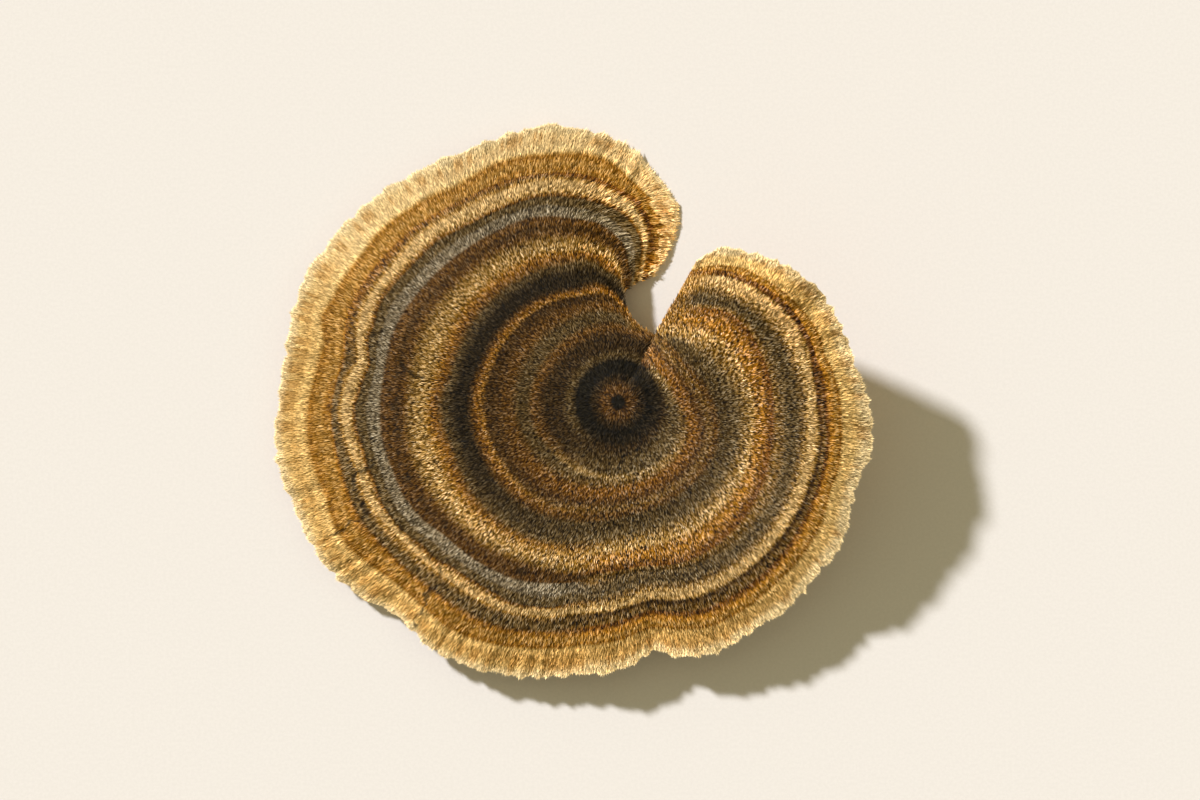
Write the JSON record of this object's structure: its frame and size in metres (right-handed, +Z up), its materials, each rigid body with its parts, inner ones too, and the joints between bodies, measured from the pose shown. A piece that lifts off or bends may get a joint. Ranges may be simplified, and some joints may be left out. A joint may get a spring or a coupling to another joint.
{
  "type": "turkey tail fungus",
  "caption": "Dried turkey tail bracket: a thin velvety cap in concentric zones, wound nearly full circle about its eye, with an open notch, a wavy margin and a flat-cut foot.",
  "frame": {"origin": "middle of the flat cut on the foot, which rests on the surface", "axes": "+Z up from the cut; +X towards the raised right-hand side; +Y towards the hooked lobe and the notch"},
  "size_m": [0.0605, 0.0558, 0.0152],
  "materials": {
    "zoned_velvet": "dry velvety felt of short hairs in concentric zones: near black, rust, olive grey, tan, silver grey, cream, ochre brown and a pale golden margin",
    "pore_surface": "dull ivory underside of fine pores, with a corky pale cut on the foot"
  },
  "bodies": {
    "root": {"cap": "zoned_velvet"}
  },
  "joints": []
}
